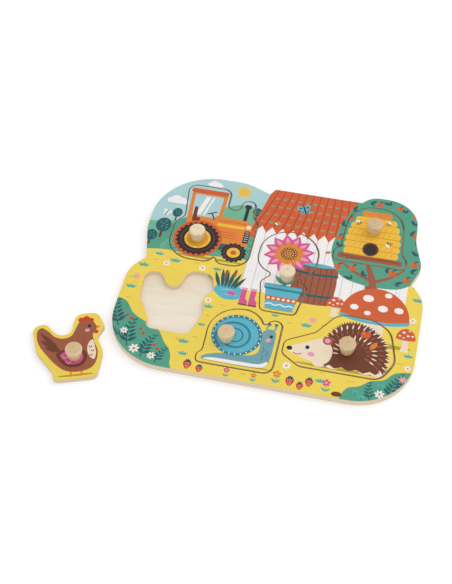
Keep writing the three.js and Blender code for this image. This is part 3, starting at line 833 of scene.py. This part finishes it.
HEN_LEGS = (-94, -84)
hen = inked("olive", oval(-90, -83.6, 17, 1.3))
hen += inked("orange", *(stroke([(x, -77), (x, -83)], 1.7) for x in HEN_LEGS))
hen += inked("orange", *(stroke([(x, -83), (x + toe, -84.2)], 1.3)
                         for x in HEN_LEGS for toe in (-3.6, 0.2, 3.8)))
hen += inked("cherry", oval(-80.5, -18.6, 3.2), oval(-75.6, -17.6, 3.4), oval(-71.2, -19.8, 2.8),
             oval(-67.3, -34.4, 2.3))
hen += inked("orange", rounded([(-68, -25.6), (-62.4, -28.8), (-68, -31.6)], 1.2))
hen += inked("chestnut", curve([
    (-123.5, -27), (-119, -23.5), (-113, -28.5), (-107, -36), (-99, -39), (-91, -36.5), (-86.5, -28),
    (-83, -21.5), (-77, -19.6), (-70.5, -21), (-67, -26), (-67.2, -32), (-70.6, -38), (-69.4, -48),
    (-67.2, -58), (-69.6, -70), (-76, -77.5), (-88, -80), (-99, -77.5), (-108, -69), (-116, -57),
    (-122, -46), (-124.4, -36)]))
hen += inked("umber", *(leaf(-103, -54, x, y, 5.4)
                        for x, y in ((-121.5, -28.5), (-121.8, -38), (-117.5, -47.5))))
hen += inked("cream", curve([(-70.8, -44), (-69.6, -52), (-69, -60), (-71.5, -67), (-76, -62), (-77, -53),
                             (-74.6, -46)]))
hen += inked("umber", *(stroke([(x, y), (x + 1.5, y - 1.7), (x + 3, y)], 0.8)
                        for x, y in ((-75.2, -51), (-73.6, -56), (-75.4, -61))))
hen += inked("umber", curve([(-107, -57), (-98, -52), (-86, -52.5), (-79, -57), (-78, -66), (-84, -73),
                             (-94, -74), (-102, -68)]))
hen += inked("rose", curve([(-103, -58.5), (-96, -54.6), (-87, -55), (-82, -58.5), (-81.6, -65), (-86, -70),
                            (-94, -70.6), (-99.6, -65.6)]))
hen += inked("blush", *(stroke([(x, y), (x + 2.4, y - 3), (x + 5, y - 0.4)], 1.0)
                        for x, y in ((-101, -60), (-96.5, -61), (-88, -57), (-98, -66.6), (-93, -57))))
hen += inked("soot", oval(-73.4, -26.6, 1.7, 1.9))
hen += inked("blush", oval(-75.6, -31.6, 2.3, 1.8))

SHELL = (-23.4, -79.4)
COIL = (-25.4, -81.4)
snail = inked("olive", oval(-18, -113.8, 34, 1.4))
snail += inked("teal", stroke([(5, -68), (3.6, -64.6), (5.2, -60.6)], 1.8))
snail += inked("teal", stroke([(10, -68), (12, -64), (11.8, -60.2)], 1.8))
snail += inked("slate", oval(5.2, -60.2, 1.9), oval(11.8, -59.8, 1.9))
snail += inked("teal", curve([
    (-51.5, -112.4), (-45, -107), (-30, -103), (-8, -101), (0, -96), (1, -86), (-0.5, -76), (1.4, -69),
    (7.6, -66), (13, -69.4), (14, -80), (13.6, -97), (12, -108), (5, -113), (-15, -114), (-40, -114)]))
snail += inked("chalk", curve([(-49, -113.3), (-40, -110.6), (-15, -110), (3, -109.4), (11, -105),
                               (11.4, -108.6), (5, -113), (-15, -114), (-40, -114)]))
snail += inked("slate", oval(*SHELL, 24.6, count=72))
snail += inked("lake", oval(-23.8, -79.8, 21.6, count=64))
# a coil that widens evenly with its angle, and so does its line
angle = np.linspace(0.35, 5.3 * np.pi, 110)
reach = 1.6 + 1.14 * angle
outer = np.stack(polar(*COIL, reach, angle), 1)
inner = np.stack(polar(*COIL, reach - 1.0 - 0.11 * angle, angle), 1)
snail += inked("slate", np.vstack([outer, inner[::-1]]))
snail += inked("chalk", *(oval(*polar(*SHELL, 23.1, a), 0.75, count=12) for a in ring(26)))
snail += inked("soot", oval(9.6, -74.6, 1.6, 1.8))
snail += inked("blush", oval(7.4, -79.4, 2.4, 1.9))
snail += inked("slate", stroke([(9, -82.4), (11, -83.2), (12.6, -82)], 0.8))
snail += inked("slate", *(stroke([(x, y), (x + 1.2, y - 3), (x, y - 6)], 0.8)
                          for x, y in ((4.6, -89), (8.4, -92), (4.8, -98))))

SPINE_ROOT = (91, -77)
hedgehog = inked("olive", oval(80, -98.8, 44, 1.7))
hedgehog += inked("cream", *(oval(x, -97.2, 5.6, 2.6) for x in (59, 72, 103, 114)))
back = curve([(117, -96), (122.5, -84), (121, -68), (115, -55), (104, -45), (90, -40.6), (77, -42.4),
              (68, -51), (61, -62.5), (57, -74), (58, -88), (65, -96.5)], 9)
# the back's outline, in and out by turns along its normal
outward = np.roll(back, -1, 0) - np.roll(back, 1, 0)
outward = np.stack([outward[:, 1], -outward[:, 0]], 1) / np.linalg.norm(outward, axis=1, keepdims=True)
hedgehog += inked("umber", back + outward * np.where(np.arange(len(back)) % 2, 1.5, -1.5)[:, None])
for row, (far, count) in enumerate(((32, 22), (25.5, 19), (19, 15), (13, 11))):
    for a in np.linspace(-0.55, np.pi + 0.1, count) + 0.06 * row:
        spine = leaf(*polar(*SPINE_ROOT, far - 3.2, a), *polar(*SPINE_ROOT, far + 3.2, a - 0.05), 1.5)
        hedgehog += inked("chestnut" if row % 2 else "cream", spine)
hedgehog += inked("cream", curve([(60, -66), (50, -69.6), (40, -75), (31, -80.4), (27.4, -84), (30.6, -88.4),
                                  (41, -92), (52, -95.4), (63, -96.4), (69, -89), (69, -76)]))
hedgehog += inked("chestnut", oval(63.5, -67.6, 5.0))
hedgehog += inked("blush", oval(63.2, -67.8, 2.9))
hedgehog += inked("soot", oval(28.9, -83.6, 2.8, 2.5), oval(45.6, -79.4, 2.0, 2.3))
hedgehog += inked("blush", oval(50.4, -87, 3.5, 2.7))
hedgehog += inked("umber", stroke([(33.6, -88.4), (37.4, -89.4), (41, -88)], 0.9))
hedgehog += apple(98, -52, 5.0)
hedgehog += inked("orange", leaf(110, -60, 104, -70, 5))
hedgehog += inked("brick", stroke([(110, -60), (104.6, -69)], 0.6))


def tyre(x, y, far, lug, count):
    """A ring that stands out and in by turns, two points at a time."""
    reach = np.where(np.arange(count) % 4 < 2, far, far - lug)
    return np.stack(polar(x, y, reach, ring(count)), 1)


FRONT_WHEEL = (-49, 23.2)
REAR_WHEEL, _, _ = node_span("tractor_knob")
tractor = inked("olive", oval(-72, 10.2, 37, 1.7))
tractor += inked("spruce", bar(-84, 24, -42, 36, 2))
tractor += inked("soot", stroke([(-46.6, 62), (-46.6, 88)], 3.6), bar(-50, 86.8, -43.4, 92.2, 1.4))
tractor += inked("orange", np.array([(-106, 50), (-71, 50), (-70.4, 102), (-109.4, 102)], float))
tractor += inked("sky", rounded([(-102.6, 66), (-75, 66), (-74.4, 97), (-105.4, 97)], 2.4))
tractor += inked("chalk", np.array([(-99, 68), (-94, 68), (-88, 95), (-93, 95)], float))
tractor += inked("chalk", np.array([(-91.6, 68), (-89.6, 68), (-83.6, 95), (-85.6, 95)], float))
tractor += inked("umber", rounded([(-101, 58), (-93, 58), (-93, 64), (-97, 64), (-98.4, 79),
                                   (-102, 79)], 1.4))
tractor += inked("soot", stroke([(-77, 62), (-82, 72)], 1.4), stroke([(-86.4, 70.6), (-78, 75)], 1.4))
tractor += inked("brick", bar(-110.6, 99, -70.6, 105.4, 2.6))
tractor += inked("orange", rounded([(-78, 33), (-37.6, 33), (-36.6, 62), (-41, 68.6), (-78, 70)], 3.2))
tractor += inked("honey", bar(-74, 56.4, -44, 60.4, 1.6))
tractor += inked("brick", stroke([(-73.6, 64.6), (-44, 63.8)], 1.0))
tractor += inked("soot", bar(-43.4, 38, -37.4, 55, 1.2))
tractor += inked("mist", *(stroke([(-42, y), (-38.8, y)], 0.9) for y in (41, 44, 47, 50, 53)))
tractor += inked("cream", oval(-40.6, 60.4, 2.7, 3.0))
tractor += inked("brick", *(stroke([(-70, y), (-52, y)], 1.1) for y in (42, 45.4, 48.8)))
tractor += inked("brick", oval(*REAR_WHEEL, 25.2, count=72))
tractor += inked("soot", tyre(*REAR_WHEEL, 22.8, 1.8, 96))
tractor += inked("umber", oval(*REAR_WHEEL, 17.8, count=56))
tractor += inked("soot", oval(*REAR_WHEEL, 16.6, count=56))
tractor += inked("honey", oval(*REAR_WHEEL, 13.6, count=48))
tractor += inked("amber", oval(*REAR_WHEEL, 11.0, count=40))
tractor += inked("cream", *(oval(*polar(*REAR_WHEEL, 12.3, a), 0.8, count=12) for a in ring(8)))
tractor += inked("soot", tyre(*FRONT_WHEEL, 13.2, 1.3, 64))
for colour, far in (("umber", 10.0), ("soot", 9.2), ("honey", 6.8), ("brick", 3.0)):
    tractor += inked(colour, oval(*FRONT_WHEEL, far))

BLOOM = (7, 34)
flower = inked("olive", oval(9.6, -40.2, 15, 1.4))
flower += inked("spruce", stroke([(8.6, 8), (9.8, -4), (9.6, -12)], 3.2))
flower += inked("hill", leaf(9.8, -8, -1.6, 2.6, 5.2), leaf(9.8, -8, 19.4, 3.2, 5.2))
flower += inked("rose", *(leaf(*BLOOM, *polar(*BLOOM, 26.6, a), 13.5) for a in ring(12, 0.26)))
flower += inked("blush", *(leaf(*polar(*BLOOM, 12, a), *polar(*BLOOM, 22.6, a), 4.2) for a in ring(12, 0.26)))
flower += inked("orange", *(leaf(*BLOOM, *polar(*BLOOM, 17, a), 9.0) for a in ring(11, 0.1)))
flower += inked("umber", oval(*BLOOM, 8.4, count=44))
flower += inked("chestnut", oval(*BLOOM, 5.6))
for far, count in ((7.0, 16), (4.4, 10), (1.8, 5)):
    flower += inked("honey", *(oval(*polar(*BLOOM, far, a), 0.75, count=10) for a in ring(count, 0.2 * far)))
flower += inked("lake", rounded([(-8.4, -12), (27.6, -12), (23.4, -40.4), (-4.2, -40.4)], 2.6))
flower += inked("brick", np.array([(-6.6, -24), (25.9, -24), (25.0, -30), (-5.7, -30)], float))
flower += inked("cream", *(oval(x, -27, 1.7, count=20) for x in np.linspace(-3, 22.4, 6)))
flower += inked("chalk", stroke([(-3.9, -35), (0.2, -33.6), (5.0, -35.4), (10, -33.6), (15.0, -35.4),
                                 (19.4, -33.8), (22.9, -34.8)], 1.3))
flower += inked("slate", rounded([(-10, -8.6), (29.2, -8.6), (28.4, -16), (-9.2, -16)], 1.8))
flower += inked("lake", rounded([(-9.4, -9.4), (28.6, -9.4), (28.2, -13.4), (-9, -13.4)], 1.4))

HIVE_MIDDLE = 88
HIVE_FOOT = 47.6
ROLL = 9.0            # height of one straw roll of the hive, mm
hive = inked("chestnut", bar(55, 40.6, 121, 47.8, 2.2))
hive += inked("umber", stroke([(57.6, 44.6), (80, 44.0), (102, 45.0), (118.4, 44.2)], 0.8))
hive += inked("umber", stroke([(64, 42.4), (78, 42.0)], 0.6), stroke([(96, 46.4), (110, 46.2)], 0.6))
for k, half in enumerate((28.0, 28.6, 28.4, 27.4, 25.4, 21.8, 15.6)):
    y = HIVE_FOOT + ROLL * k
    left = HIVE_MIDDLE - half
    right = HIVE_MIDDLE + half
    hive += inked("honey" if k < 6 else "orange", bar(left, y, right, y + 9.3, 4.4))
    hive += inked("amber", stroke([(left + 3, y + 0.8), (HIVE_MIDDLE, y + 0.4), (right - 3, y + 0.8)], 1.3))
    hive += inked("amber", *(stroke([(x, y + 2.4), (x + 2.2, y + 7.2)], 0.6)
                             for x in np.arange(left + 4, right - 5, 5.4)))
hive += inked("umber", oval(87, 57.6, 8.4, 9.2))
hive += inked("soot", oval(87, 57.2, 6.6, 7.4))
for place in ((70, 91, 4.2, 0.5), (105.5, 69, 4.4, 2.6), (100, 96, 3.6, -0.4)):
    hive += bee(*place)

ground = meadow[:1]
pictures = (laid_loose(ground + hen), meadow + snail, meadow + hedgehog, meadow + tractor, meadow + flower,
            meadow + hive)
for name, picture in zip(FIGURES, pictures):
    toast_and_gap_shade = LOOSE_TOAST if name == "hen" else SEATED_TOAST_AND_SHADE
    cut_sheet(name + "_figure", name + "_piece", name, print_finish(name + "_print"),
              SHEET_THICK, picture, FIGURE_ARRIS, toast_and_gap_shade, clean)


# KNOBS
# Six bare beech knobs, turned on a lathe with a swelling flank and a softly rounded top, glued and
# screwed on the figures. The turned top shows end grain, the flank long fibres.
KNOB_FOOT = 5.3       # radius, mm
KNOB_TOP = 8.2        # radius, mm
KNOB_TALL = 15.5
KNOB_RIM = 2.6        # rounding of the top's edge
KNOB_CROWN = 0.8      # how far the top is domed
KNOB_SWELL = 0.9      # of the flank beyond a straight cone, at its control point
KNOB_PALE = (0.12, 0.3, 0.08, 0.95, 0.85, 0.0)   # how pale each knob's wood is
ROUND = 72            # points round a turned piece


def turned(profile, centre, foot):
    """Points of a turned body: each (radius, height) of the profile carried round the axis."""
    a = np.linspace(0, 2 * np.pi, ROUND, endpoint=False)
    r, z = np.asarray(profile, float).T
    x = centre[0] + r[:, None] * np.cos(a)
    y = centre[1] + r[:, None] * np.sin(a)
    return np.stack([x, y, np.broadcast_to(foot + z[:, None], x.shape)], 2).reshape(-1, 3)


def lathe_faces(rows):
    """Four-sided faces between neighbouring rows of a turned body, facing outwards, and a cap at each end."""
    k, j = np.meshgrid(np.arange(rows - 1), np.arange(ROUND), indexing="ij")
    here, on = k * ROUND + j, k * ROUND + (j + 1) % ROUND
    quads = np.stack([here, on, on + ROUND, here + ROUND], 2).reshape(-1, 4)
    last = (rows - 1) * ROUND
    return quads.tolist() + [list(range(ROUND))[::-1], list(range(last, last + ROUND))]


def knob_profile():
    """From the foot up: a flank that swells outside a straight cone, a quarter round, a low crown."""
    t = np.linspace(0, 1, 22)
    rim_low = KNOB_TALL - KNOB_CROWN - KNOB_RIM
    control = (KNOB_FOOT + KNOB_TOP) / 2 + KNOB_SWELL
    flank = np.stack([(1 - t)**2 * KNOB_FOOT + 2 * t * (1 - t) * control + t**2 * KNOB_TOP, t * rim_low], 1)
    a = np.linspace(0, np.pi / 2, 12)[1:]
    inner = KNOB_TOP - KNOB_RIM
    rim = np.stack([inner + KNOB_RIM * np.cos(a), rim_low + KNOB_RIM * np.sin(a)], 1)
    s = np.linspace(1, 0.03, 14)[1:]
    crown = np.stack([inner * s, KNOB_TALL - KNOB_CROWN * s**2], 1)
    return np.vstack([flank, rim, crown])


# beech: year rings round a pith to one side, short flecks along the fibre, darker on the end grain
knob_wood, tree, shader = new_finish("knob_wood", Specular_IOR_Level=0.35)
grain = read(tree, "grain", "Vector")
apart = put(tree, "SeparateXYZ", {0: grain})
across = put(tree, "CombineXYZ", {0: apart.outputs[0], 1: apart.outputs[1]}).outputs[0]
from_pith = put(tree, "VectorMath", {0: across}, operation="LENGTH").outputs["Value"]
sway = stretched_noise(tree, grain, (0.16, 0.16, 0.05), 2)
from_pith = reckon(tree, "MULTIPLY_ADD", sway, 3.0, from_pith)
year = reckon(tree, "FRACT", reckon(tree, "MULTIPLY", from_pith, 0.62))
flecks = stretched_noise(tree, grain, (2.4, 2.4, 0.16), 3)
mottle = stretched_noise(tree, grain, (0.22, 0.22, 0.1), 2)
lathe = put(tree, "SeparateXYZ", {0: read(tree, "lathe", "Vector")})
from_axis, on_top, pale = lathe.outputs
end_grain = reckon(tree, "MULTIPLY", spread(tree, upright(tree), 0.5, 0.99, 0, 1),
                   spread(tree, pale, 0, 1, 0.78, 0.04))
centre_mark = reckon(tree, "MULTIPLY", spread(tree, from_axis, 0.2, 1.7, 0.4, 0), on_top)
knob_colour = tint(tree, pale, linear(232, 206, 164), linear(247, 232, 202))
knob_colour = tint(tree, spread(tree, mottle, 0.35, 0.7, 0, 0.35), knob_colour, linear(212, 182, 136))
knob_colour = tint(tree, spread(tree, year, 0.45, 1.0, 0, 0.24), knob_colour, linear(196, 160, 112))
knob_colour = tint(tree, spread(tree, flecks, 0.52, 0.8, 0, 0.4), knob_colour, linear(184, 146, 100))
knob_colour = tint(tree, end_grain, knob_colour, linear(203, 171, 129))
knob_colour = tint(tree, centre_mark, knob_colour, linear(150, 112, 70))
raised = put(tree, "Bump", {"Strength": 0.15, "Distance": RELIEF, "Height": flecks})
tree.links.new(knob_colour, shader.inputs["Base Color"])
tree.links.new(spread(tree, flecks, 0.3, 0.8, 0.46, 0.6), shader.inputs["Roughness"])
tree.links.new(raised.outputs[0], shader.inputs["Normal"])

profile = knob_profile()
for k, name in enumerate(FIGURES):
    middle, foot, top = node_span(name + "_knob")
    points = turned(profile, middle, foot)
    faces = lathe_faces(len(profile))
    knob = new_piece(name + "_grip", points, faces, name, name + "_knob", knob_wood)
    knob.data.polygons.foreach_set("use_smooth", np.arange(len(faces)) < len(faces) - 2)
    far = np.linalg.norm(points[:, :2] - middle, axis=1)
    give(knob.data, "lathe", "FLOAT_VECTOR", "vector",
         np.column_stack([far, points[:, 2] > top - 1, np.full(len(far), KNOB_PALE[k])]))
    # each knob's own grain: its blank's pith lies to one side of it
    pith = np.array([*polar(0, 0, 5 + 2.5 * k, 2.2 * k), 40 * k])
    give(knob.data, "grain", "FLOAT_VECTOR", "vector", points - [*middle, foot] + pith)


# SCREWS
# A zinc-plated countersunk screw from below through each figure into its knob, its head just under
# flush, with a cross recess.
SCREW_HEAD = 3.0      # radius, mm
SCREW_SHANK = 1.5     # radius, mm
SCREW_SUNK = 0.3
HEAD_TALL = 1.5
HEAD_LIP = 0.08       # upright edge of the head
TIP = 2.5
CROSS_HALF = 0.42     # half the width of the cross recess's arms
CROSS_REACH = 1.75
RIDGE = 0.16          # height of the thread
PITCH = 1.2


def screw_points(centre, foot, end):
    """Head face: rings whose depth is the cross, two crossed bars smoothed at their sides, fading outwards.
    Then the head's cone, the shank with a ridge wound round it, and the point."""
    a = np.linspace(0, 2 * np.pi, ROUND, endpoint=False)
    r = np.linspace(0.02, 1, 26)[:, None] * SCREW_HEAD
    x, y = r * np.cos(a), r * np.sin(a)
    wide_x, wide_y = (np.clip((CROSS_HALF - np.abs(v)) / 0.12, 0, 1) for v in (x, y))
    long_x, long_y = (np.clip((CROSS_REACH - np.abs(v)) / 0.25, 0, 1) for v in (x, y))
    arm = np.maximum(wide_x * long_y, wide_y * long_x)
    share = r / SCREW_HEAD
    face = np.stack([x, y, SCREW_SUNK + arm * (1 - 0.35 * share) + 0.12 * np.maximum(0, share - 0.93)], 2)
    low = SCREW_SUNK + HEAD_LIP
    z = low + np.linspace(0, 1, 90)[:, None] * (end - low)
    neck = SCREW_SUNK + HEAD_TALL
    taper = (SCREW_HEAD - SCREW_SHANK) * (z - SCREW_SUNK) / HEAD_TALL
    cone = np.clip(SCREW_HEAD - taper, SCREW_SHANK, SCREW_HEAD)
    ridge = RIDGE * np.cos(2 * np.pi * z / PITCH - a) * np.clip(z - neck - 1, 0, 1)
    slim = np.clip((end - z) / TIP, 0.02, 1)
    body = np.where(z < neck + 0.2, cone, (SCREW_SHANK - RIDGE + ridge) * slim)
    side = np.stack([body * np.cos(a), body * np.sin(a), np.broadcast_to(z, body.shape)], 2)
    return np.vstack([face.reshape(-1, 3), side.reshape(-1, 3)]) + [*centre, foot], len(r) + len(z)


screw_steel, tree, shader = new_finish("screw_steel", Metallic=1.0)
plating = stretched_noise(tree, place_mm(tree), (1.1, 1.1, 1.1), 3)
tree.links.new(tint(tree, plating, linear(208, 204, 192), linear(178, 176, 172)), shader.inputs["Base Color"])
tree.links.new(spread(tree, plating, 0.3, 0.7, 0.24, 0.42), shader.inputs["Roughness"])
for name in FIGURES:
    middle, foot, top = node_span(name + "_screw")
    points, rows = screw_points(middle, foot - SCREW_SUNK, top - foot + SCREW_SUNK)
    faces = lathe_faces(rows)
    screw = new_piece(name + "_fixing", points, faces, name, name + "_screw", screw_steel)
    screw.data.polygons.foreach_set("use_smooth", np.ones(len(faces), bool))


# TABLE, LIGHT AND CAMERA
# The puzzle lies flat on a plain white table under broad soft light from above, a little stronger
# from the back on the right, seen from the front at about fifty degrees.
TABLE_HALF = 4.0      # m
TABLE_GAP = 0.00005   # between the board and the table, m


def seen_plainly(tree, path):
    """1 for what is looked at straight on, in a mirror or through glass; 0 for light on its way."""
    seen = reckon(tree, "MAXIMUM", path.outputs["Is Camera Ray"], path.outputs["Is Glossy Ray"])
    return reckon(tree, "MAXIMUM", seen, path.outputs["Is Transmission Ray"])


corners = bar(-TABLE_HALF, -TABLE_HALF, TABLE_HALF, TABLE_HALF)
table = bpy.data.meshes.new("table")
table.from_pydata([(x, y, -TABLE_GAP) for x, y in corners], [], [(0, 1, 2, 3)])
table_top = bpy.data.objects.new("table_top", table)
bpy.context.scene.collection.objects.link(table_top)
white_table, tree, shader = new_finish("white_table", Base_Color=(0.93, 0.93, 0.935, 1), Roughness=0.9,
                                       Specular_IOR_Level=0.0, Emission_Color=(1, 1, 1, 1))
table.materials.append(white_table)
path = put(tree, "LightPath")
place = put(tree, "TexCoord").outputs["Object"]
away = put(tree, "VectorMath", {0: place}, operation="LENGTH").outputs["Value"]
glow = reckon(tree, "MULTIPLY", seen_plainly(tree, path), spread(tree, away, 0.4, 1.5, 0.128, 0.36))
tree.links.new(glow, shader.inputs["Emission Strength"])
# seen from below the table is clear, and light from below reaches the undersides that lie on it
near = reckon(tree, "LESS_THAN", path.outputs["Ray Length"], 10 * TABLE_GAP)
clear = reckon(tree, "MAXIMUM", put(tree, "NewGeometry").outputs["Backfacing"], near)
through = put(tree, "MixShader", {0: clear, 1: shader.outputs[0], 2: put(tree, "BsdfTransparent").outputs[0]})
tree.links.new(through.outputs[0], tree.nodes["Material Output"].inputs["Surface"])

world = bpy.data.worlds.new("studio")
bpy.context.scene.world = world
world.use_nodes = True
tree = world.node_tree
backdrop = tree.nodes["Background"]
backdrop.inputs["Color"].default_value = (1, 1, 1, 1)
strength = spread(tree, seen_plainly(tree, put(tree, "LightPath")), 0, 1, 0.74, 1.0)
tree.links.new(strength, backdrop.inputs["Strength"])


def soft_light(name, at, size, power):
    """A square soft box, facing the middle of the board."""
    lamp = bpy.data.lights.new(name, "AREA")
    lamp.size = size
    lamp.energy = power
    box = bpy.data.objects.new(name, lamp)
    bpy.context.scene.collection.objects.link(box)
    box.location = at
    box.rotation_euler = (np.arccos(at[2] / np.linalg.norm(at)), 0, np.arctan2(at[1], at[0]) + np.pi / 2)


soft_light("key", (0.75, 0.5, 1.45), 1.5, 8)
soft_light("fill", (-0.2, -1.55, 1.1), 1.4, 4)

camera = bpy.data.objects.new("camera", bpy.data.cameras.new("camera"))
bpy.context.scene.collection.objects.link(camera)
camera.data.sensor_fit = "VERTICAL"
camera.data.sensor_height = 36
camera.data.lens = 72.74
camera.location = (0.1156, -0.75865, 0.9076)
camera.rotation_euler = np.radians([39.67, 0, 12.42])
bpy.context.scene.camera = camera
bpy.context.scene.view_settings.view_transform = "Standard"
